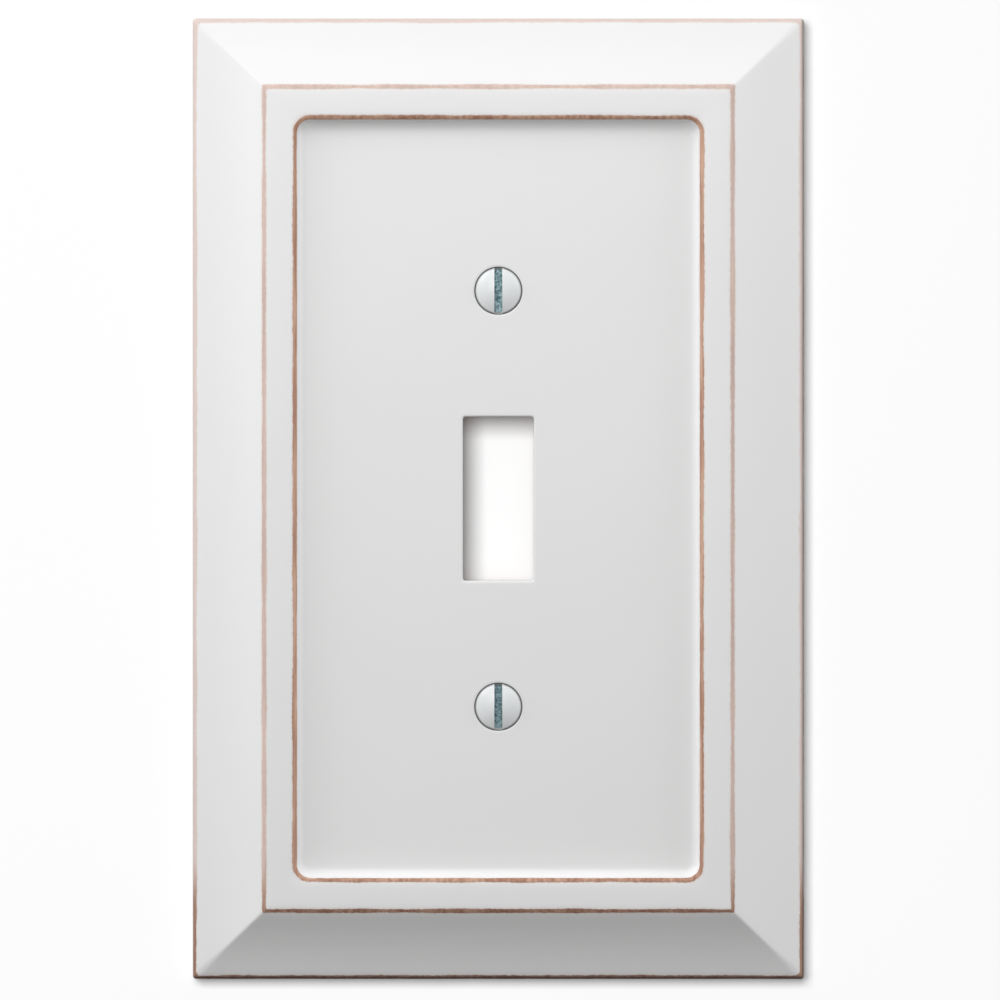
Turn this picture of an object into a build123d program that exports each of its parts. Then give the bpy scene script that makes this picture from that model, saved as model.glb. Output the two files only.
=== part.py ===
from build123d import *
import os
from math import radians, tan

# A one-gang toggle wall plate, milled from one piece of wood, and the two slotted oval-head
# screws that hold it to the switch. Millimetres. +Z is up, the front faces -Y and the wall is
# the plane y = 0. The origin lies in that plane, midway between the screws, at the centre of
# the toggle opening.
#
# Each piece is drawn lying on its back, with the wall at z = 0 and the front upwards, and is
# stood up against the wall when it is written out.

# ---- driving dimensions: the plate ----
plate_width = 88.9
plate_height = 139.7
corner_radius = 0.5        # outer corners of the outline
side_height = 3.0          # straight edge, from the wall to the sloping border
rim_round = 0.6            # sanded edge between that straight edge and the border

side_border_width = 10.55   # the sloping border at the sides, from the outline to the raised band
end_border_width = 10.2    # the same at the top and the bottom
border_rise = 5.0
border_scoop = 0.5         # how far the slope is hollowed below a straight line
band_width = 4.8           # the raised flat band, from the border to the inner lip
band_round = 0.9           # sanded edge between the border and the band

lip_round = 0.6            # sanded edge at the band's inner lip
lip_wall = 0.1             # straight bit of wall between that edge and the cove
cove_radius = 1.3          # hollow curve from the lip down to the field
field_corner_radius = 0.6  # corners of the flat field, inside the cove
web_thickness = 3.6        # wood left behind the field

rear_rim = 11.5            # flat rim that rests on the wall, round a pocket for the switch's strap
recess_corner_radius = 6.0

toggle_width = 10.3        # opening for the toggle
toggle_height = 23.8
toggle_corner_radius = 0.4
toggle_ease = 0.25         # softened front edge of the opening

# ---- driving dimensions: the screws, 6-32 thread, half an inch long under the rim ----
screw_spacing = 60.325
thread_diameter = 3.505
neck_diameter = 2.99
screw_length = 12.7        # from the rim of the head to the tip
tip_chamfer = 0.5
head_diameter = 6.65
head_edge = 0.15           # straight rim between the cone and the dome
head_dome = 0.9
head_angle = 82.0
driver_slot_width = 1.15
driver_slot_depth = 1.35   # below the crown of the dome

# ---- clearances ----
hole_gap = 0.25            # around the thread, in the plate's hole
sink_gap = 0.2             # around the head's rim, at the mouth of the countersink
seat_gap = 0.06            # around the head's cone: a film of paint
thread_gap = 0.2           # from the back of the web to the first thread
tool_overrun = 5.0         # how far a cutter runs past the face it opens

# ---- sizes that follow ----
band_z = side_height + border_rise
field_z = band_z - (lip_round + lip_wall + cove_radius)
recess_depth = field_z - web_thickness
recess_width = plate_width - 2 * rear_rim
recess_height = plate_height - 2 * rear_rim
pocket_width = plate_width - 2 * (side_border_width + band_width)
pocket_height = plate_height - 2 * (end_border_width + band_width)
pocket_corner_radius = field_corner_radius + cove_radius
cone_slope = tan(radians(head_angle / 2))
sink_radius = head_diameter / 2 + sink_gap
hole_radius = thread_diameter / 2 + hole_gap
rim_z = field_z - (sink_gap - seat_gap) / cone_slope


def moulded_bar(span, length, border_width):
    """A bar with the plate's moulding down both long edges: it spans X and runs along Y."""
    half = span / 2
    slope = SagittaArc((half, side_height), (half - border_width, band_z), border_scoop)
    straight = Polyline(slope @ 1, (0, band_z), (0, 0), (half, 0), (half, side_height))
    section = make_face(slope + straight)
    for corner, radius in ((slope @ 0, rim_round), (slope @ 1, band_round)):
        section = fillet(section.vertices().sort_by_distance(corner)[0], radius)
    bar = extrude(Plane.XZ * section, length / 2, both=True)
    return bar + mirror(bar, Plane.YZ)


def rounded_block(width, height, radius, bottom, top):
    """A block with rounded upright corners, between two heights above the wall."""
    return Pos(0, 0, bottom) * extrude(RectangleRounded(width, height, radius), top - bottom)


def screw_places():
    """The upper and the lower screw's axis."""
    return [Pos(0, side * screw_spacing / 2, 0) for side in (1, -1)]


def wall_plate():
    """The wooden plate: mitred moulding, sunk field, toggle opening and countersunk holes."""
    blank = moulded_bar(plate_width, plate_height, side_border_width)
    blank &= Rot(0, 0, 90) * moulded_bar(plate_height, plate_width, end_border_width)
    blank &= rounded_block(plate_width, plate_height, corner_radius, 0, band_z)

    pocket = rounded_block(pocket_width, pocket_height, pocket_corner_radius,
                           field_z, band_z + tool_overrun)
    pocket = fillet(pocket.edges().group_by(Axis.Z)[0], cove_radius)
    plate = blank - pocket
    lip = plate.edges().filter_by_position(Axis.Z, band_z, band_z)
    lip = lip.filter_by(lambda e: abs(e.center().X) < pocket_width / 2 + lip_round
                        and abs(e.center().Y) < pocket_height / 2 + lip_round)
    plate = fillet(lip, lip_round)

    plate -= rounded_block(recess_width, recess_height, recess_corner_radius,
                           -tool_overrun, recess_depth)
    plate -= rounded_block(toggle_width, toggle_height, toggle_corner_radius, 0, band_z)
    mouth = plate.edges().filter_by_position(Axis.Z, field_z, field_z)
    mouth = mouth.filter_by(lambda e: abs(e.center().X) <= toggle_width / 2
                            and abs(e.center().Y) <= toggle_height / 2)
    plate = fillet(mouth, toggle_ease)

    for place in screw_places():
        plate -= place * countersunk_hole()
    return plate


def countersunk_hole():
    """The cutter for one screw hole, as a solid of revolution about Z."""
    sink_bottom = field_z - (sink_radius - hole_radius) / cone_slope
    profile = Polyline(
        (0, 0, 0), (hole_radius, 0, 0), (hole_radius, 0, sink_bottom),
        (sink_radius, 0, field_z), (sink_radius, 0, band_z), (0, 0, band_z), close=True)
    return revolve(make_face(profile), Axis.Z)


def screw():
    """One screw on the Z axis, driven home: its cone sits in the countersink."""
    head_radius, neck_radius, thread_radius = head_diameter / 2, neck_diameter / 2, thread_diameter / 2
    edge_z = rim_z + head_edge
    crown_z = edge_z + head_dome
    cone_end = rim_z - (head_radius - neck_radius) / cone_slope
    thread_start = recess_depth - thread_gap
    tip_z = rim_z - screw_length
    dome = Plane.XZ * TangentArc((0, crown_z), (head_radius, edge_z), tangent=(1, 0))
    shank = Polyline(
        (head_radius, 0, edge_z), (head_radius, 0, rim_z), (neck_radius, 0, cone_end),
        (neck_radius, 0, thread_start), (thread_radius, 0, thread_start),
        (thread_radius, 0, tip_z + tip_chamfer), (thread_radius - tip_chamfer, 0, tip_z),
        (0, 0, tip_z), (0, 0, crown_z))
    body = revolve(make_face(dome + shank), Axis.Z)
    cutter = Pos(0, 0, crown_z - driver_slot_depth) * Box(
        driver_slot_width, head_diameter + tool_overrun, driver_slot_depth + tool_overrun,
        align=(Align.CENTER, Align.CENTER, Align.MIN))
    return body - cutter


def main():
    os.makedirs("parts", exist_ok=True)
    pieces = {"wall_plate": wall_plate()}
    for name, place in zip(("upper_screw", "lower_screw"), screw_places()):
        pieces[name] = place * screw()
    for name, piece in pieces.items():
        export_step(Plane.XZ.location * piece, f"parts/{name}.step")
    tip_y = screw_length - rim_z
    print(f"plate {plate_width} x {plate_height} x {band_z:.2f}, field at {field_z:.2f}, "
          f"recess {recess_depth:.2f} deep, screw tips {tip_y:.2f} behind the wall plane")


main()
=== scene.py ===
# %% [markdown]
# A toggle wall plate. On the real object one board is milled into a sloping border, a raised
# band and a sunk field, painted white, and rubbed through to the wood along its edges. Two
# slotted oval-head screws hold it to the switch behind. The design's frame is loaded first,
# because every size and place below is in its metres, with +Z up and the front facing -Y.

# %% Load the frame
import math

import bpy
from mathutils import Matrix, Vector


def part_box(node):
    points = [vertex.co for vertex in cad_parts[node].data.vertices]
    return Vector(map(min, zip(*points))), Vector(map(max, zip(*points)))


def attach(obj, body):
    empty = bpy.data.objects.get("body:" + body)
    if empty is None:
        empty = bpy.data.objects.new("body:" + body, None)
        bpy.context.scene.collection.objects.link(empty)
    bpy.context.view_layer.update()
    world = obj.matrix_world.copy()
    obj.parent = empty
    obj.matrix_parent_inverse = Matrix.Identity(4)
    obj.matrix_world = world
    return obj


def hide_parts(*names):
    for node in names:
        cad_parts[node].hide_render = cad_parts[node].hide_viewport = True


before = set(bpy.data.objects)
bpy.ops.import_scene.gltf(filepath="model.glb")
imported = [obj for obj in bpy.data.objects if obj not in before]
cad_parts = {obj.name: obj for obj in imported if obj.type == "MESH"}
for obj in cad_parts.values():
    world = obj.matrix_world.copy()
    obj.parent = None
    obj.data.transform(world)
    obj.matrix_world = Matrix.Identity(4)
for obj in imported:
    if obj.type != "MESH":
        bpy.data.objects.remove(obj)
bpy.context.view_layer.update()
MM = 0.001
plate_low, plate_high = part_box("wall_plate")
plate_width = plate_high.x - plate_low.x
plate_height = plate_high.z - plate_low.z
plate_depth = plate_high.y - plate_low.y
print(f"plate {plate_width / MM:.1f} x {plate_height / MM:.1f} x {plate_depth / MM:.1f} mm")

# %% [markdown]
# The sizes of the moulding are the maker's: how wide the border is, how deep the cove, how
# round each sanded edge. They are the design's own values, named once here.

# %% Name the plate's sizes
corner_radius = 0.5 * MM
side_height = 3.0 * MM
rim_round = 0.6 * MM
rear_round = 0.15 * MM
side_border_width, end_border_width = 10.55 * MM, 10.2 * MM
border_scoop = 0.5 * MM
band_width = 4.8 * MM
band_round = 0.9 * MM
lip_round = 0.6 * MM
lip_wall = 0.1 * MM
cove_radius = 1.3 * MM
field_corner_radius = 0.6 * MM
web_thickness = 3.6 * MM
rear_rim = 11.5 * MM
recess_corner_radius = 6.0 * MM
toggle_width, toggle_height = 10.3 * MM, 23.8 * MM
toggle_corner_radius = 0.4 * MM
toggle_ease = 0.25 * MM

field_height = plate_depth - lip_round - lip_wall - cove_radius
recess_height = field_height - web_thickness
print(f"field {field_height / MM:.2f} mm and recess {recess_height / MM:.2f} mm above the wall")

# %% [markdown]
# A milled board is a section carried round its outline. The section is a row of points, each
# with how far in from the outline it lies, the radius of the corner there, and its height off
# the wall. A bend is an arc worked out from its radius and its two angles, so the only points
# written down are the ones the cutter's shape needs. Each point also keeps five marks. Four are
# for the paint to read later: how near the point is to a sanded edge, how much of a thin veil
# of paint stays on that edge, a veil which also paints the sheen of the light there, whether
# the wood is bare, and how much painted shade darkens a crevice that lies in shadow. The fifth,
# less, is how much less the point lies in at the top and bottom than at the sides.

# %% Draw a section
edge_reach = 2.0 * MM


class Section:
    """A row of points (inset, corner radius, height) with the marks of each."""

    def __init__(self, name):
        self.name, self.points = name, []
        self.marks = {"edge": [], "veil": [], "bare": [], "grime": [], "less": []}

    def point(self, inset, corner, height, **marks):
        self.points.append((inset, corner, height))
        for name, values in self.marks.items():
            values.append(float(marks.get(name, 0)))

    def line(self, end, steps, **marks):
        """Steps evenly from the last point to end, an (inset, corner, height)."""
        start = self.points[-1]
        for step in range(1, steps + 1):
            self.point(*(a + (b - a) * step / steps for a, b in zip(start, end)), **marks)

    def bend(self, inset, height, radius, start, end, steps, corner, **marks):
        """An arc about (inset, height), from one angle to another; corner(inset) gives the radius."""
        for step in range(steps + 1):
            angle = math.radians(start + (end - start) * step / steps)
            place = inset + radius * math.cos(angle)
            self.point(place, corner(place), height + radius * math.sin(angle), **marks)

    def mark_edge(self, inset, height, half_width, veil):
        """Marks a sanded edge: 1 at half_width from it, 0 a reach farther off, more than 1 inside."""
        for number, (place, _, level) in enumerate(self.points):
            near = 1 - (math.hypot(place - inset, level - height) - half_width) / edge_reach
            if near > self.marks["edge"][number]:
                self.marks["edge"][number] = near
                self.marks["veil"][number] = veil

    def build(self):
        """The section as a mesh object of points joined by edges."""
        mesh = bpy.data.meshes.new(self.name)
        mesh.from_pydata(self.points, [(n, n + 1) for n in range(len(self.points) - 1)], [])
        for name, values in self.marks.items():
            mesh.attributes.new(name, "FLOAT", "POINT").data.foreach_set("value", values)
        made = bpy.data.objects.new(self.name, mesh)
        bpy.context.collection.objects.link(made)
        return made


# %% [markdown]
# The border is hollowed a little, like the inside of a very large pipe. Two circles of sanding
# sit against it: one turns the square side into the slope and one turns the slope into the
# band. Both are found the same way: their centres lie one radius inside each neighbour. The
# border's corners are hips, crisp by the band and sanded rounder toward the rim. Three edges
# are marked as worn: the rim, the band's outer edge and its inner lip.

# %% Draw the moulding's section
def moulding_section():
    """From the recess in the back, round the outside, over the band and down to the field."""
    border_width = side_border_width
    rise = plate_depth - side_height
    chord = math.hypot(border_width, rise)
    tilt = math.atan2(rise, border_width)
    hollow = chord ** 2 / (8 * border_scoop) + border_scoop / 2
    centre = (border_width / 2 - (hollow - border_scoop) * math.sin(tilt),
              side_height + rise / 2 + (hollow - border_scoop) * math.cos(tilt))

    def on_slope(inset):
        return centre[1] - math.sqrt(hollow ** 2 - (inset - centre[0]) ** 2)

    rim_drop = math.sqrt((hollow + rim_round) ** 2 - (rim_round - centre[0]) ** 2)
    rim = (rim_round, centre[1] - rim_drop)
    rim_angle = math.degrees(math.atan2(centre[1] - rim[1], centre[0] - rim[0]))
    band_level = plate_depth - band_round
    band_reach = math.sqrt((hollow + band_round) ** 2 - (centre[1] - band_level) ** 2)
    band = (centre[0] + band_reach, band_level)
    band_angle = math.degrees(math.atan2(centre[1] - band[1], centre[0] - band[0]))

    straight_top = rim[1] - 0.3 * MM
    wall = border_width + band_width
    lip_corner = field_corner_radius + cove_radius
    crisp_hip, round_hip = 0.3 * MM, 0.9 * MM
    roundest, crisp_after = 1.2 * MM, 3.5 * MM

    def hip(inset):
        if inset < roundest:
            return corner_radius + (round_hip - corner_radius) * inset / roundest
        fade = min((inset - roundest) / crisp_after, 1)
        return round_hip + (crisp_hip - round_hip) * fade

    def lip(inset):
        return lip_corner + (wall - inset)

    section = Section("section_of_moulding")
    section.point(rear_rim + 1 * MM, recess_corner_radius - 1 * MM, recess_height, bare=1)
    section.line((rear_rim, recess_corner_radius, recess_height), 1, bare=1)
    section.line((rear_rim, recess_corner_radius, 0), 2, bare=1)
    section.line((rear_round, corner_radius, 0), 6, bare=1)
    section.bend(rear_round, rear_round, rear_round, 270, 180, 3, lambda _: corner_radius)
    section.line((0, corner_radius, straight_top), 4)
    section.bend(*rim, rim_round, 180, rim_angle, 7, hip)
    start = section.points[-1][0]
    stop = band[0] + band_round * math.cos(math.radians(band_angle))
    slope_steps = 14
    for step in range(1, slope_steps):
        inset = start + (stop - start) * step / slope_steps
        section.point(inset, hip(inset), on_slope(inset))
    section.bend(*band, band_round, band_angle, 90, 6, hip)
    section.line((wall - lip_round, lip_corner + lip_round, plate_depth), 8)
    section.bend(wall - lip_round, plate_depth - lip_round, lip_round, 90, 0, 6, lip)
    section.bend(wall + cove_radius, field_height + cove_radius, cove_radius, 180, 270, 14, lip)
    section.line((wall + cove_radius + 0.5 * MM, 0.1 * MM, field_height), 1)
    # The veil mark is thin paint that also paints the sheen of the light; the lip gets none
    section.mark_edge(0.20 * MM, side_height - 0.05 * MM, 0.46 * MM, veil=0.85)
    section.mark_edge(border_width - 0.05 * MM, plate_depth - 0.1 * MM, 0.33 * MM, veil=0.55)
    section.mark_edge(wall - 0.26 * MM, plate_depth - 0.1 * MM, 0.42 * MM, veil=0.0)
    for number, (inset, _, height) in enumerate(section.points):
        if height > side_height:
            share = min(inset / border_width, 1)
            section.marks["less"][number] = share * (side_border_width - end_border_width)
    return section.build()


moulding = moulding_section()
print(len(moulding.data.vertices), "points in the moulding's section")

# %% [markdown]
# The two kinds of opening are sections too. The toggle opening has a softened front edge and
# straight walls. A screw hole opens with an 82-degree countersink for the head's cone, and its
# mouth is darkened with painted shade for the shadow in the gap round the head. The screw's own
# sizes are named here, because the hole takes its size from them. Both sections start with a
# flat ring on the field, so that the smooth shading of the edge doesn't spread over the field.

# %% Draw the openings' sections
thread_diameter = 3.505 * MM
neck_diameter = 2.99 * MM
head_diameter = 6.65 * MM
head_angle = math.radians(82)
hole_gap, sink_gap, seat_gap = 0.25 * MM, 0.2 * MM, 0.06 * MM
hole_radius = thread_diameter / 2 + hole_gap
sink_radius = head_diameter / 2 + sink_gap
cone_slope = math.tan(head_angle / 2)


def toggle_section():
    """From the field, over the softened edge, to the back of the web."""
    section = Section("section_of_toggle_opening")
    level = field_height - toggle_ease
    flat_ring, drifted_paint = 0.6 * MM, 0.2 * MM
    section.point(-flat_ring, toggle_corner_radius + flat_ring, field_height)
    section.bend(-toggle_ease, level, toggle_ease, 90, 0, 5,
                 lambda inset: toggle_corner_radius - inset)
    section.line((0, toggle_corner_radius, recess_height + drifted_paint), 6)
    section.line((0, toggle_corner_radius, recess_height), 1, bare=1)
    return section.build()


def hole_section():
    """From the field, down the countersink and the bore, to the back of the web."""
    section = Section("section_of_screw_hole")
    cone_end = field_height - (sink_radius - hole_radius) / cone_slope
    flat_ring = 0.3 * MM
    section.point(-flat_ring, sink_radius + flat_ring, field_height)
    section.line((0, sink_radius, field_height), 1)
    # Painted shade: the countersink's mouth, and less so its cone, darkened for the shadow round the
    # head
    section.line((0.05 * MM, sink_radius - 0.05 * MM, field_height - 0.03 * MM), 1, grime=1)
    section.line((sink_radius - hole_radius, hole_radius, cone_end), 6, grime=0.35)
    section.line((sink_radius - hole_radius, hole_radius, recess_height), 3, bare=1)
    return section.build()


toggle_cut, hole_cut = toggle_section(), hole_section()
print("hole", round(hole_radius * 2 / MM, 2), "mm, countersink", round(sink_radius * 2 / MM, 2))

# %% [markdown]
# Geometry Nodes carry a section round its outline. Everything below is built from one small
# helper that adds a node, sets its options and fills its sockets, and one for sums.

# %% Two helpers for node trees
def add(tree, kind, sockets=(), **options):
    """Adds a node; sockets maps an input's name or number to a value or to another node's output."""
    node = tree.nodes.new(kind)
    for name, value in options.items():
        setattr(node, name, value)
    for key, value in dict(sockets).items():
        if isinstance(value, bpy.types.NodeSocket):
            tree.links.new(value, node.inputs[key])
        else:
            node.inputs[key].default_value = value
    return node


def sums(tree):
    """A function that adds one Math node to the tree and returns its result."""
    def sum_of(operation, *values):
        return add(tree, "ShaderNodeMath", enumerate(values), operation=operation).outputs[0]
    return sum_of


def new_tree(name, inputs):
    """A Geometry Nodes tree with named inputs, given as (name, type, value)."""
    tree = bpy.data.node_groups.new(name, "GeometryNodeTree")
    tree.interface.new_socket("Geometry", in_out="OUTPUT", socket_type="NodeSocketGeometry")
    for label, kind, value in inputs:
        socket = tree.interface.new_socket(label, in_out="INPUT", socket_type="NodeSocket" + kind)
        if value is not None:
            socket.default_value = value
    return tree, tree.nodes.new("NodeGroupInput").outputs, tree.nodes.new("NodeGroupOutput").inputs


# %% [markdown]
# The tree below lays a grid of vertices: one way counts round the outline, the other counts
# along the section. A vertex's number gives both counts. The outline is a rounded rectangle:
# a corner's arc, then a straight run to the next corner, four times over. Every ring keeps its
# own corner radius, so the border's corners come out as crisp hips and the cove's as round
# ones, as a mitred slope and a router bit leave them. A circle is the same outline with no
# straight runs, so the screw holes and the screws come from this tree as well.

# %% The tree that carries a section round an outline
def rings_tree():
    tree, given, result = new_tree("carry_section_round", [
        ("Section", "Geometry", None), ("Width", "Float", 0.1), ("Height", "Float", 0.1),
        ("Centre", "Vector", None), ("Side Steps", "Int", 8), ("Corner Steps", "Int", 4)])
    do = sums(tree)
    stations = add(tree, "GeometryNodeAttributeDomainSize", {0: given["Section"]}).outputs[0]
    quarter = do("ADD", given["Side Steps"], given["Corner Steps"])
    around = do("MULTIPLY_ADD", quarter, 4.0, 1.0)
    grid = add(tree, "GeometryNodeMeshGrid", {"Vertices X": around, "Vertices Y": stations})
    number = add(tree, "GeometryNodeInputIndex").outputs[0]
    step = do("FLOOR", do("DIVIDE", do("ADD", number, 0.5), stations))
    station = do("ROUND", do("SUBTRACT", number, do("MULTIPLY", step, stations)))
    corner = do("FLOOR", do("DIVIDE", do("ADD", step, 0.5), quarter))
    along = do("SUBTRACT", step, do("MULTIPLY", corner, quarter))

    def sampled(field, kind):
        return add(tree, "GeometryNodeSampleIndex",
                   {"Geometry": given["Section"], "Value": field, "Index": station},
                   data_type=kind).outputs[0]

    place = add(tree, "GeometryNodeInputPosition").outputs[0]
    point = add(tree, "ShaderNodeSeparateXYZ", {0: sampled(place, "FLOAT_VECTOR")}).outputs
    turn = do("MULTIPLY", do("ADD", corner, do("MINIMUM", do(
        "DIVIDE", along, given["Corner Steps"]), 1.0)), math.pi / 2)
    run = do("DIVIDE", do("MAXIMUM", do("SUBTRACT", along, given["Corner Steps"]), 0.0),
             given["Side Steps"])
    less = add(tree, "GeometryNodeInputNamedAttribute", {"Name": "less"}).outputs[0]
    length = do("MULTIPLY_ADD", sampled(less, "FLOAT"), 2.0, given["Height"])
    axes = []
    for wave, size in (("COSINE", given["Width"]), ("SINE", length)):
        here, there = (do("MULTIPLY", do(wave, do("MULTIPLY_ADD", count, math.pi / 2, math.pi / 4)),
                          math.sqrt(2)) for count in (corner, do("ADD", corner, 1.0)))
        side = do("ADD", here, do("MULTIPLY", do("SUBTRACT", there, here), run))
        reach = do("SUBTRACT", do("SUBTRACT", do("DIVIDE", size, 2.0), point[0]), point[1])
        axes.append(do("ADD", do("MULTIPLY", side, reach),
                       do("MULTIPLY", do(wave, turn), point[1])))
    flat = add(tree, "ShaderNodeCombineXYZ", {0: axes[0], 1: axes[1], 2: point[2]}).outputs[0]
    moved = add(tree, "ShaderNodeVectorMath", {0: flat, 1: given["Centre"]}).outputs[0]
    mesh = add(tree, "GeometryNodeSetPosition",
               {"Geometry": grid.outputs["Mesh"], "Position": moved}).outputs[0]
    for name in ("edge", "veil", "bare", "grime"):
        value = add(tree, "GeometryNodeInputNamedAttribute", {"Name": name}).outputs[0]
        mesh = add(tree, "GeometryNodeStoreNamedAttribute",
                   {"Geometry": mesh, "Name": name, "Value": sampled(value, "FLOAT")}).outputs[0]
    closed = add(tree, "GeometryNodeMergeByDistance", {"Geometry": mesh, "Distance": 1e-6})
    tree.links.new(closed.outputs[0], result[0])
    return tree


rings = rings_tree()
print(len(rings.nodes), "nodes in", rings.name)

# %% [markdown]
# The plate's tree carries the moulding round the outline and the two openings round theirs.
# What is left open is flat: the field in front and the recess behind. Each is filled from the
# rims around it, which makes a face with three holes in it. Last, the sanded edges are worn
# unevenly: a noise pushes them in, by a tenth of a millimetre or so.

# %% The plate's tree
def plate_tree():
    tree, given, result = new_tree("milled_plate", [
        ("Moulding", "Geometry", None), ("Toggle Section", "Object", None),
        ("Hole Section", "Object", None), ("Width", "Float", 0.1), ("Height", "Float", 0.1),
        ("Toggle Width", "Float", 0.01), ("Toggle Height", "Float", 0.02),
        ("Sink Diameter", "Float", 0.007), ("Screw Spacing", "Float", 0.06),
        ("Field Height", "Float", 0.006), ("Recess Height", "Float", 0.002),
        ("Sanding", "Float", 0.0001), ("Seed", "Float", 4.0), ("Material", "Material", None)])
    do = sums(tree)

    def shell(section, width, height, centre, side_steps, corner_steps):
        return add(tree, "GeometryNodeGroup", {
            "Section": section, "Width": width, "Height": height, "Centre": centre,
            "Side Steps": side_steps, "Corner Steps": corner_steps}, node_tree=rings).outputs[0]

    def section_of(name):
        return add(tree, "GeometryNodeObjectInfo", {"Object": given[name]}).outputs["Geometry"]

    shells = [shell(given["Moulding"], given["Width"], given["Height"], (0, 0, 0), 118, 8),
              shell(section_of("Toggle Section"), given["Toggle Width"], given["Toggle Height"],
                    (0, 0, 0), 12, 6)]
    for side in (0.5, -0.5):
        offset = do("MULTIPLY", given["Screw Spacing"], side)
        centre = add(tree, "ShaderNodeCombineXYZ", {1: offset}).outputs[0]
        shells.append(shell(section_of("Hole Section"), given["Sink Diameter"],
                            given["Sink Diameter"], centre, 1, 16))
    walls = add(tree, "GeometryNodeJoinGeometry")
    for each in shells:
        tree.links.new(each, walls.inputs[0])
    whole = add(tree, "GeometryNodeJoinGeometry")
    tree.links.new(walls.outputs[0], whole.inputs[0])

    level = add(tree, "ShaderNodeSeparateXYZ",
                {0: add(tree, "GeometryNodeInputPosition").outputs[0]}).outputs[2]
    faces = add(tree, "GeometryNodeInputMeshEdgeNeighbors").outputs[0]
    is_open = do("COMPARE", faces, 1.0, 0.1)
    for height, bare in (("Field Height", 0.0), ("Recess Height", 1.0)):
        here = do("COMPARE", level, given[height], 0.02 * MM)
        rims = add(tree, "GeometryNodeMeshToCurve",
                   {"Mesh": walls.outputs[0], "Selection": do("MULTIPLY", is_open, here)})
        fill = add(tree, "GeometryNodeFillCurve", {"Curve": rims.outputs[0]})
        if bare:
            fill = add(tree, "GeometryNodeFlipFaces", {"Mesh": fill.outputs[0]})
        lift = add(tree, "ShaderNodeCombineXYZ", {2: given[height]}).outputs[0]
        raised = add(tree, "GeometryNodeTransform",
                     {"Geometry": fill.outputs[0], "Translation": lift}).outputs[0]
        marked = add(tree, "GeometryNodeStoreNamedAttribute",
                     {"Geometry": raised, "Name": "bare", "Value": bare}).outputs[0]
        tree.links.new(marked, whole.inputs[0])
    closed = add(tree, "GeometryNodeMergeByDistance",
                 {"Geometry": whole.outputs[0], "Distance": 1e-6}).outputs[0]

    near = do("POWER", add(tree, "GeometryNodeInputNamedAttribute", {"Name": "edge"}).outputs[0], 4.0)
    noise = add(tree, "ShaderNodeTexNoise", {"W": given["Seed"], "Scale": 160.0, "Detail": 3.0},
                noise_dimensions="4D").outputs[0]
    push = do("MULTIPLY", do("MULTIPLY", near, noise), do("MULTIPLY", given["Sanding"], -1.0))
    normal = add(tree, "GeometryNodeInputNormal").outputs[0]
    inward = add(tree, "ShaderNodeVectorMath", {0: normal, "Scale": push}, operation="SCALE")
    sanded = add(tree, "GeometryNodeSetPosition",
                 {"Geometry": closed, "Offset": inward.outputs[0]}).outputs[0]
    upright = add(tree, "GeometryNodeTransform",
                  {"Geometry": sanded, "Rotation": (math.pi / 2, 0, 0)}).outputs[0]
    real = add(tree, "GeometryNodeRealizeInstances", {0: upright}).outputs[0]
    done = add(tree, "GeometryNodeSetMaterial",
               {"Geometry": real, "Material": given["Material"]}).outputs[0]
    tree.links.new(done, result[0])
    return tree


milled_plate = plate_tree()
print(len(milled_plate.nodes), "nodes in", milled_plate.name)

# %% [markdown]
# A tree runs as a modifier. Its inputs are set by their identifiers before the object is first
# evaluated, and the result is taken off as a plain mesh, because the export drops modifiers
# that make instances. Smooth shading stops at angles a cutter leaves sharp. The volume of the
# finished mesh is printed: it is close to the design's only if the mesh is whole.

# %% Turn a tree's result into a plain piece
def made_by(tree, start, name, inputs, sharp=35):
    """A plain mesh object from a tree run on the start object, with its inputs set by name."""
    modifier = start.modifiers.new(tree.name, "NODES")
    modifier.node_group = tree
    for item in tree.interface.items_tree:
        if item.in_out == "INPUT" and item.name in inputs:
            modifier[item.identifier] = inputs[item.name]
    evaluated = start.evaluated_get(bpy.context.evaluated_depsgraph_get())
    mesh = bpy.data.meshes.new_from_object(evaluated)
    start.modifiers.remove(modifier)
    mesh.name = name
    for number in reversed(range(len(mesh.materials))):
        if mesh.materials[number] is None:
            mesh.materials.pop(index=number)
    mesh.shade_smooth()
    mesh.set_sharp_from_angle(angle=math.radians(sharp))
    piece = bpy.data.objects.new(name, mesh)
    bpy.context.collection.objects.link(piece)
    return piece


def volume_of(piece):
    """The volume a closed mesh holds, negative if its faces point inwards."""
    mesh = piece.data
    mesh.calc_loop_triangles()
    corners = [v.co for v in mesh.vertices]
    return sum(corners[a].dot(corners[b].cross(corners[c]))
               for a, b, c in (t.vertices for t in mesh.loop_triangles)) / 6


paint_on_wood = bpy.data.materials.new("rubbed_paint_on_wood")
screw_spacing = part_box("upper_screw")[1].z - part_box("lower_screw")[1].z
plate = made_by(milled_plate, moulding, "milled_plate", {
    "Toggle Section": toggle_cut, "Hole Section": hole_cut, "Width": plate_width,
    "Height": plate_height, "Toggle Width": toggle_width, "Toggle Height": toggle_height,
    "Sink Diameter": 2 * sink_radius, "Screw Spacing": screw_spacing,
    "Field Height": field_height, "Recess Height": recess_height,
    "Sanding": 0.1 * MM, "Seed": 4.0, "Material": paint_on_wood})
print(len(plate.data.polygons), "faces,", round(volume_of(plate) / MM ** 3), "cubic mm")

# %% [markdown]
# An oval-head screw is turned on a lathe, so its section is carried round a circle: the tip,
# the thread's outside, the neck, the cone under the head and the domed crown. The thread is
# one long groove. A point is in the groove when its height plus its share of a turn lands in
# the groove's part of the pitch, which is how a thread climbs one pitch for every turn.

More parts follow.
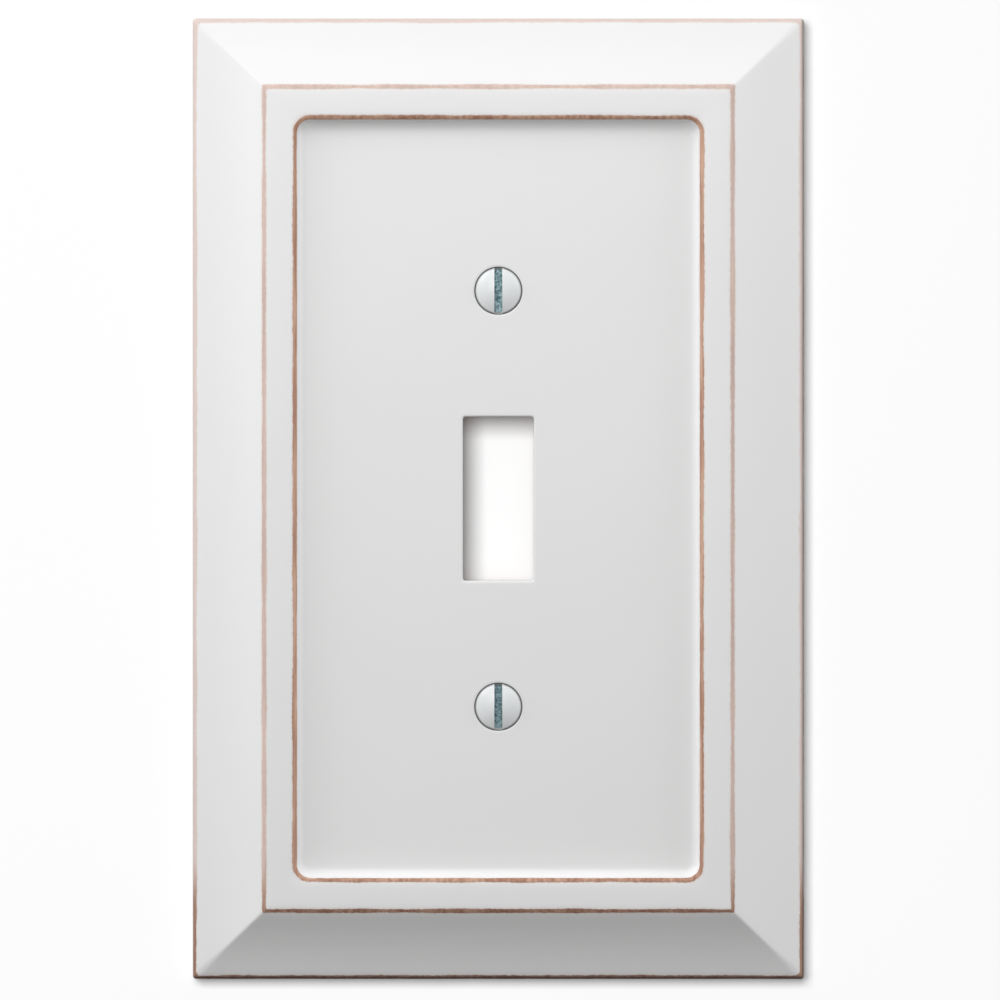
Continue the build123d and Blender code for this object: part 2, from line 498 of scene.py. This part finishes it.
# %% Draw the screw's section
thread_pitch = 0.794 * MM
thread_depth = 0.42 * MM
head_edge, head_dome = 0.15 * MM, 0.9 * MM
tip_chamfer = 0.5 * MM
thread_start = 2.3 * MM
driver_slot_width, driver_slot_depth = 1.15 * MM, 1.35 * MM

rim_height = field_height - (sink_gap - seat_gap) / cone_slope
crown_height = rim_height + head_edge + head_dome
tip_height = -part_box("upper_screw")[1].y


def screw_section():
    """From the tip's centre, up the outside, to the crown's centre."""
    section = Section("section_of_screw")
    head, thread, neck = head_diameter / 2, thread_diameter / 2, neck_diameter / 2

    def ring(radius, height):
        return (head - radius, radius, height)

    section.point(*ring(0, tip_height), bare=1)
    section.line(ring(thread - tip_chamfer, tip_height), 3, bare=1)
    section.line(ring(thread, tip_height + tip_chamfer), 6, bare=1)
    turns = (thread_start - tip_height - tip_chamfer) / thread_pitch
    rings_a_turn, run_out = 12, 0.6 * (thread - neck)
    section.line(ring(thread, thread_start), round(turns * rings_a_turn), bare=1)
    section.line(ring(neck, thread_start + run_out), 3, bare=1)
    section.line(ring(neck, rim_height - (head - neck) / cone_slope), 4, bare=1)
    section.line(ring(head, rim_height), 8, bare=1)
    # Painted shade: the head's rim is darkened for the shadow in the gap round the head
    section.line(ring(head, rim_height + head_edge * 0.4), 1, grime=1)
    crown_start = len(section.points)
    dome = (head ** 2 + head_dome ** 2) / (2 * head_dome)
    reach = math.degrees(math.asin(head / dome))
    section.bend(head, crown_height - dome, dome, 90 + reach, 90, 14,
                 lambda inset: head - inset)
    # Painted shade at the crown's edge too, as on the rim below it
    section.marks["grime"][crown_start] = 1.0
    return section.build()


screw_profile = screw_section()
print(len(screw_profile.data.vertices), "points in the screw's section, crown",
      round(crown_height / MM, 2), "mm off the wall")

# %% [markdown]
# The driver's slot is sawn across the head after it is turned, so here it is a cutter taken
# away from the finished head. The cutter carries the bare metal with it, because paint on a
# screw head leaves the slot's walls as bright as the file left them.

# %% The screw's tree
def screw_tree():
    tree, given, result = new_tree("oval_head_screw", [
        ("Section", "Geometry", None), ("Head Diameter", "Float", 0.006),
        ("Pitch", "Float", 0.0008), ("Thread Depth", "Float", 0.0004),
        ("Thread Top", "Float", 0.002), ("Thread End", "Float", -0.006),
        ("Slot Width", "Float", 0.001), ("Slot Depth", "Float", 0.001),
        ("Crown Height", "Float", 0.007), ("Rim Height", "Float", 0.006),
        ("Along Plate", "Float", 0.03), ("Enamel", "Material", None), ("Zinc", "Material", None)])
    do = sums(tree)
    turned = add(tree, "GeometryNodeGroup", {
        "Section": given["Section"], "Width": given["Head Diameter"],
        "Height": given["Head Diameter"], "Side Steps": 1, "Corner Steps": 18},
        node_tree=rings).outputs[0]
    place = add(tree, "GeometryNodeInputPosition").outputs[0]
    x, y, level = add(tree, "ShaderNodeSeparateXYZ", {0: place}).outputs
    share = do("DIVIDE", do("ARCTAN2", y, x), 2 * math.pi)
    climb = do("FRACT", do("SUBTRACT", do("DIVIDE", level, given["Pitch"]), share))
    groove = do("MULTIPLY_ADD", do("PINGPONG", climb, 0.5), 2.5, -0.125)
    groove = do("MINIMUM", do("MAXIMUM", groove, 0.0), 1.0)
    for near in (do("SUBTRACT", given["Thread Top"], level),
                 do("SUBTRACT", level, given["Thread End"])):
        fade = do("MINIMUM", do("MAXIMUM", do("DIVIDE", near, given["Pitch"]), 0.0), 1.0)
        groove = do("MULTIPLY", groove, fade)
    out = add(tree, "ShaderNodeVectorMath", {0: add(tree, "ShaderNodeCombineXYZ", {0: x, 1: y}).
                                             outputs[0]}, operation="NORMALIZE").outputs[0]
    cut = do("MULTIPLY", do("MULTIPLY", groove, given["Thread Depth"]), -1.0)
    inward = add(tree, "ShaderNodeVectorMath", {0: out, "Scale": cut}, operation="SCALE")
    threaded = add(tree, "GeometryNodeSetPosition",
                   {"Geometry": turned, "Offset": inward.outputs[0]}).outputs[0]
    bare = add(tree, "GeometryNodeSetMaterial",
               {"Geometry": threaded, "Material": given["Zinc"]}).outputs[0]
    is_head = do("GREATER_THAN", level, given["Rim Height"])
    head = add(tree, "GeometryNodeSetMaterial", {
        "Geometry": bare, "Selection": is_head, "Material": given["Enamel"]}).outputs[0]

    long = do("MULTIPLY", given["Head Diameter"], 1.5)
    size = add(tree, "ShaderNodeCombineXYZ", {0: given["Slot Width"], 1: long, 2: long})
    saw = add(tree, "GeometryNodeMeshCube", {"Size": size.outputs[0]}).outputs["Mesh"]
    lift = do("ADD", do("SUBTRACT", given["Crown Height"], given["Slot Depth"]),
              do("DIVIDE", long, 2.0))
    raised = add(tree, "ShaderNodeCombineXYZ", {2: lift}).outputs[0]
    saw = add(tree, "GeometryNodeTransform", {"Geometry": saw, "Translation": raised}).outputs[0]
    saw = add(tree, "GeometryNodeSetMaterial",
              {"Geometry": saw, "Material": given["Zinc"]}).outputs[0]
    slotted = add(tree, "GeometryNodeMeshBoolean", {"Mesh 1": head, "Mesh 2": saw},
                  operation="DIFFERENCE", solver="EXACT").outputs["Mesh"]
    centre = add(tree, "ShaderNodeCombineXYZ", {2: given["Along Plate"]}).outputs[0]
    upright = add(tree, "GeometryNodeTransform", {
        "Geometry": slotted, "Rotation": (math.pi / 2, 0, 0), "Translation": centre}).outputs[0]
    real = add(tree, "GeometryNodeRealizeInstances", {0: upright}).outputs[0]
    tree.links.new(real, result[0])
    return tree


oval_head_screw = screw_tree()
enamel = bpy.data.materials.new("screw_head_enamel")
zinc = bpy.data.materials.new("bare_zinc_plating")
screws = []
for name in ("upper_screw", "lower_screw"):
    low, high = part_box(name)
    screws.append(made_by(oval_head_screw, screw_profile, "slotted_" + name, {
        "Head Diameter": head_diameter, "Pitch": thread_pitch, "Thread Depth": thread_depth,
        "Thread Top": thread_start, "Thread End": tip_height, "Slot Width": driver_slot_width,
        "Slot Depth": driver_slot_depth, "Crown Height": crown_height,
        "Rim Height": rim_height + 0.01 * MM, "Along Plate": (low.z + high.z) / 2,
        "Enamel": enamel, "Zinc": zinc}, sharp=28))
    print(name, len(screws[-1].data.polygons), "faces,",
          round(volume_of(screws[-1]) / MM ** 3, 1), "cubic mm")
for cutter in (moulding, toggle_cut, hole_cut, screw_profile):
    bpy.data.objects.remove(cutter)

# %% [markdown]
# A finish is a node tree ending in one shader. Patterns read Object coordinates, which are the
# piece's own metres, so a scale of 1000 gives a pattern about a millimetre across. Three small
# helpers keep the finishes short: one starts a tree, one adds noise that can be stretched along
# the grain, and one blends two colours.

# %% Helpers for finishes
def start_finish(material, **settings):
    """Clears the material's tree and returns it with its shader's inputs and Object coordinates."""
    material.use_nodes = True
    tree = material.node_tree
    tree.nodes.clear()
    shader = add(tree, "ShaderNodeBsdfPrincipled")
    add(tree, "ShaderNodeOutputMaterial", {0: shader.outputs[0]})
    for name, value in settings.items():
        shader.inputs[name.replace("_", " ")].default_value = value
    return tree, shader.inputs, add(tree, "ShaderNodeTexCoord").outputs["Object"]


def noise_of(tree, place, scale, detail=3.0, stretch=(1, 1, 1), sharpness=0.5):
    """Noise between 0 and 1 with a feature every 1/scale metres, longer where stretch is small."""
    laid = add(tree, "ShaderNodeMapping", {"Vector": place, "Scale": stretch}).outputs[0]
    return add(tree, "ShaderNodeTexNoise", {"Vector": laid, "Scale": scale, "Detail": detail,
                                            "Roughness": sharpness}).outputs[0]


def blend_of(tree, share, first, second):
    """The first colour where share is 0 and the second where it is 1."""
    node = add(tree, "ShaderNodeMix", {0: share}, data_type="RGBA")
    for number, colour in ((6, first), (7, second)):
        if isinstance(colour, bpy.types.NodeSocket):
            tree.links.new(colour, node.inputs[number])
        else:
            node.inputs[number].default_value = (*colour, 1)
    return node.outputs[2]


def range_of(tree, value, low, high, to_low=0.0, to_high=1.0):
    """Maps low..high to to_low..to_high with soft ends, and holds it there outside."""
    return add(tree, "ShaderNodeMapRange", {"Value": value, "From Min": low, "From Max": high,
                                            "To Min": to_low, "To Max": to_high},
               interpolation_type="SMOOTHSTEP").outputs[0]


def bump_of(tree, height, depth, under=None):
    """A bump as deep as depth, in metres, laid over another bump if one is given."""
    sockets = {"Height": height, "Distance": depth}
    if under:
        sockets["Normal"] = under
    return add(tree, "ShaderNodeBump", sockets).outputs[0]


# %% [markdown]
# The plate's finish is satin paint over wood. The paint is rubbed off along the sanded edges,
# a little more in some places than in others, and it thins to a pinkish haze before it ends.
# The edge mark on the mesh says how far each spot is from an edge, so a wandering threshold on
# it draws the worn line. The outer edges keep a thin veil of paint over the wood, which also
# paints the sheen of the light on them. The veil is left off the bottom border, whose bare wood
# is painted a shade darker, and the outermost bottom and right-hand rims are painted almost
# black: both are painted shade, for edges that face away from the light. The back was never
# painted, apart from what drifted round the rim. Distances in this finish are in millimetres.

# %% The finish of rubbed paint over wood
right_edge, top_edge = plate_width / 2, plate_height / 2
dark_wood, pale_wood = (0.38, 0.19, 0.125), (0.64, 0.41, 0.30)
# The first is a veil of thin paint that also paints the sheen of the light on the edges
thin_paint_and_sheen, hazy_paint = (0.76, 0.65, 0.61), (0.74, 0.62, 0.57)
# Painted shade: the first darkens the bottom border's bare wood, the second the outermost bottom and
# right-hand rims
bottom_shade_wood, rim_shade_wood = (0.12, 0.06, 0.045), (0.05, 0.03, 0.025)


def finish_paint_on_wood(material):
    tree, shader, place = start_finish(material)
    do = sums(tree)
    edge = add(tree, "ShaderNodeAttribute", attribute_name="edge").outputs["Fac"]
    bare = add(tree, "ShaderNodeAttribute", attribute_name="bare").outputs["Fac"]
    along = (1, 1, 0.05)

    fibres = noise_of(tree, place, 1500, 4, along, 0.6)
    growth = noise_of(tree, place, 260, 2, along)
    tone = do("MULTIPLY_ADD", fibres, 0.65, do("MULTIPLY", growth, 0.35))
    wood = blend_of(tree, range_of(tree, tone, 0.36, 0.64), dark_wood, pale_wood)

    sides = add(tree, "ShaderNodeSeparateXYZ", {"Vector": place}).outputs
    lower_band = end_border_width - top_edge
    # Painted shade: bare wood on the bottom border is mixed 35 per cent toward dark brown
    above = range_of(tree, sides["Z"], lower_band, lower_band + 8 * MM)
    wood = blend_of(tree, do("MULTIPLY_ADD", above, -0.35, 0.35), wood, bottom_shade_wood)
    # The veil of thin paint, with its painted sheen, is left off the bottom border, which is painted
    # in shade
    veil = add(tree, "ShaderNodeAttribute", attribute_name="veil").outputs["Fac"]
    wood = blend_of(tree, do("MULTIPLY", veil, above), wood, thin_paint_and_sheen)
    # Painted shade: the outermost right-hand and bottom rims, facing away from the light, go
    # near-black
    at_right = range_of(tree, sides["X"], right_edge - 0.55 * MM, right_edge, 0.0, 0.8)
    at_bottom = range_of(tree, sides["Z"], 0.75 * MM - top_edge, -top_edge, 0.0, 0.9)
    wood = blend_of(tree, do("MAXIMUM", at_right, at_bottom), wood, rim_shade_wood)

    distance = do("MULTIPLY", do("SUBTRACT", 1.0, edge), edge_reach / MM)
    wander = do("SUBTRACT", noise_of(tree, place, 110, 2), 0.5)
    nibble = do("SUBTRACT", noise_of(tree, place, 1400, 3), 0.5)
    width = do("ADD", do("MULTIPLY", wander, 0.45), do("MULTIPLY", nibble, 0.28))
    left = do("SUBTRACT", distance, width)
    rubbed = range_of(tree, left, 0.05, -0.05)
    haze = range_of(tree, left, 0.28, 0.0, 0.0, 0.5)
    unpainted = do("MAXIMUM", rubbed, bare)

    cloud = noise_of(tree, place, 45, 3)
    paint = blend_of(tree, cloud, (0.820, 0.820, 0.820), (0.842, 0.842, 0.840))
    paint = blend_of(tree, haze, paint, hazy_paint)
    # Painted shade: the countersinks' mouths and cones are darkened toward black as shadow
    grime = add(tree, "ShaderNodeAttribute", attribute_name="grime").outputs["Fac"]
    paint = blend_of(tree, grime, paint, (0.07, 0.07, 0.075))
    tree.links.new(blend_of(tree, unpainted, paint, wood), shader["Base Color"])
    satin = do("MULTIPLY_ADD", noise_of(tree, place, 900, 3), 0.10, 0.42)
    rough = do("MULTIPLY_ADD", unpainted, 0.25, satin)
    tree.links.new(rough, shader["Roughness"])

    levelled = bump_of(tree, noise_of(tree, place, 420, 2), 0.012 * MM)
    combed = bump_of(tree, noise_of(tree, place, 1100, 3, (1, 1, 0.08)), 0.006 * MM, levelled)
    raised = do("MULTIPLY", fibres, unpainted)
    step = do("MULTIPLY_ADD", unpainted, -0.6, raised)
    tree.links.new(bump_of(tree, step, 0.05 * MM, combed), shader["Normal"])


finish_paint_on_wood(paint_on_wood)
print(len(paint_on_wood.node_tree.nodes), "nodes in", paint_on_wood.name)

# %% [markdown]
# The screws are zinc-plated steel with a coat of enamel on the crown. Zinc shows small dull
# and bright patches, bluish grey. The enamel is cooler and glossier than the plate's paint,
# and greyer round its rim, painted shade for the gap between the head and the countersink.

# %% The finishes of the screws
def finish_zinc(material):
    tree, shader, place = start_finish(material, Metallic=0.75)
    do = sums(tree)
    patches = noise_of(tree, place, 3200, 3, sharpness=0.6)
    tone = range_of(tree, patches, 0.36, 0.64)
    colour = blend_of(tree, tone, (0.125, 0.222, 0.243), (0.325, 0.455, 0.485))
    tree.links.new(colour, shader["Base Color"])
    tree.links.new(do("MULTIPLY_ADD", tone, -0.2, 0.62), shader["Roughness"])
    tree.links.new(bump_of(tree, patches, 0.02 * MM), shader["Normal"])


def finish_enamel(material):
    tree, shader, place = start_finish(material)
    do = sums(tree)
    cloud = noise_of(tree, place, 500, 3)
    colour = blend_of(tree, cloud, (0.76, 0.785, 0.79), (0.83, 0.845, 0.85))
    # Painted shade: the rim of the head is greyed for the shadowed gap round it
    grime = add(tree, "ShaderNodeAttribute", attribute_name="grime").outputs["Fac"]
    colour = blend_of(tree, grime, colour, (0.30, 0.30, 0.31))
    tree.links.new(colour, shader["Base Color"])
    tree.links.new(do("MULTIPLY_ADD", cloud, 0.12, 0.26), shader["Roughness"])
    tree.links.new(bump_of(tree, noise_of(tree, place, 900, 2), 0.012 * MM), shader["Normal"])


finish_zinc(zinc)
finish_enamel(enamel)
print("finished", zinc.name, "and", enamel.name)

# %% [markdown]
# The plate hangs on a wall, so the stage is a white wall just behind it and a pale floor. The
# wall gives off a very little light of its own, as a lit backdrop does, and still shows the
# plate's shadow. It is clear from behind, so that the back of the plate can be seen.

# %% Build the stage
def stage_plane(name, corners, material):
    mesh = bpy.data.meshes.new(name)
    mesh.from_pydata(corners, [], [(0, 1, 2, 3)])
    mesh.materials.append(material)
    plane = bpy.data.objects.new(name, mesh)
    bpy.context.collection.objects.link(plane)
    return plane


backdrop = bpy.data.materials.new("lit_backdrop")
tree, shader, place = start_finish(backdrop, Roughness=0.9, Specular_IOR_Level=0.0)
shader["Base Color"].default_value = (0.50, 0.50, 0.50, 1)
shader["Emission Color"].default_value = (1, 1, 1, 1)
shader["Emission Strength"].default_value = 0.03
behind = add(tree, "ShaderNodeNewGeometry").outputs["Backfacing"]
clear = add(tree, "ShaderNodeBsdfTransparent").outputs[0]
painted_wall = tree.nodes["Principled BSDF"].outputs[0]
one_sided = add(tree, "ShaderNodeMixShader", {0: behind, 1: painted_wall, 2: clear}).outputs[0]
tree.links.new(one_sided, tree.nodes["Material Output"].inputs[0])

pale_floor = bpy.data.materials.new("pale_floor")
tree, shader, place = start_finish(pale_floor, Roughness=0.8)
speckle = noise_of(tree, place, 30, 4)
tree.links.new(blend_of(tree, speckle, (0.70, 0.70, 0.69), (0.76, 0.76, 0.75)),
               shader["Base Color"])

wall_y, floor_z = 0.4 * MM, -1.1
wall = stage_plane("wall", [(-1.5, wall_y, floor_z), (1.5, wall_y, floor_z),
                            (1.5, wall_y, 1.3), (-1.5, wall_y, 1.3)], backdrop)
floor = stage_plane("floor", [(-2, -2.5, floor_z), (2, -2.5, floor_z),
                              (2, 2.5, floor_z), (-2, 2.5, floor_z)], pale_floor)
for unseen in ("diffuse", "glossy", "transmission", "shadow"):
    setattr(wall, "visible_" + unseen, False)
print("wall at", wall_y / MM, "mm, floor at", floor_z, "m")

# %% [markdown]
# The light is plain and soft, from above and slightly left: the upper slope of the border is
# the brightest face and the lower one the darkest, and each side fades a little downwards.
# Every light is a square panel aimed at the plate. The wall has a panel of its own, brighter
# and farther off, and the others pass it by: as in a studio, the backdrop is lit apart, so it
# burns out to white and the plate's shadow on it stays short.

# %% Hang the lights
only_wall = bpy.data.collections.new("only_wall")
all_but_wall = bpy.data.collections.new("all_but_wall")
for group, state in ((only_wall, "INCLUDE"), (all_but_wall, "EXCLUDE")):
    group.objects.link(wall)
    group.collection_objects[0].light_linking.link_state = state


def soft_panel(name, place, size, power, lights=all_but_wall):
    lamp = bpy.data.lights.new(name, "AREA")
    lamp.shape, lamp.size, lamp.energy = "SQUARE", size, power
    panel = bpy.data.objects.new(name, lamp)
    panel.location = place
    panel.visible_camera = False
    panel.rotation_euler = (-panel.location).to_track_quat("-Z", "Y").to_euler()
    panel.light_linking.receiver_collection = lights
    bpy.context.collection.objects.link(panel)


soft_panel("backdrop", (-0.55, -2.60, 0.55), 1.6, 140, only_wall)
soft_panel("front_high", (-0.05, -0.45, 0.16), 0.2, 0.70)
soft_panel("overhead", (-0.06, -0.30, 0.57), 0.4, 0.82)
soft_panel("left_above", (-0.45, -0.35, 0.45), 0.3, 1.27)
soft_panel("right_above", (0.45, -0.35, 0.45), 0.3, 0.63)
soft_panel("left_side", (-0.65, -0.12, 0.15), 0.3, 1.50)
soft_panel("right_side", (0.65, -0.12, 0.15), 0.3, 1.43)

studio = bpy.data.worlds.new("studio")
bpy.context.scene.world = studio
studio.use_nodes = True
tree = studio.node_tree
tree.nodes.clear()
seen = add(tree, "ShaderNodeBackground", {"Color": (1, 1, 1, 1), "Strength": 1.0}).outputs[0]
fill = add(tree, "ShaderNodeBackground", {"Color": (1, 1, 1, 1), "Strength": 0.24}).outputs[0]
direct = add(tree, "ShaderNodeLightPath").outputs["Is Camera Ray"]
both = add(tree, "ShaderNodeMixShader", {0: direct, 1: fill, 2: seen}).outputs[0]
add(tree, "ShaderNodeOutputWorld", {0: both})
bpy.context.scene.view_settings.view_transform = "Standard"

# %% [markdown]
# The camera faces the plate squarely from a little over a metre, with a long lens, so that the
# border's sides stay hidden behind its rim.

# %% Set the camera
lens = bpy.data.cameras.new("camera")
lens.lens, lens.sensor_width = 300, 36
lens.clip_start, lens.clip_end = 0.05, 50
camera = bpy.data.objects.new("camera", lens)
camera.location = (0.24 * MM, -1.2143, -0.18 * MM)
camera.rotation_euler = (math.pi / 2, 0, 0)
bpy.context.collection.objects.link(camera)
bpy.context.scene.camera = camera
print("camera", tuple(round(v, 4) for v in camera.location))

# %% [markdown]
# Each piece now takes the place of its design part, so it moves with that part's body.

# %% Fit the pieces to the frame
for piece, node, body, finish in (
        (plate, "wall_plate", "plate", "painted_wood"),
        (screws[0], "upper_screw", "upper_screw", "painted_screw"),
        (screws[1], "lower_screw", "lower_screw", "painted_screw")):
    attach(piece, body)
    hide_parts(node)
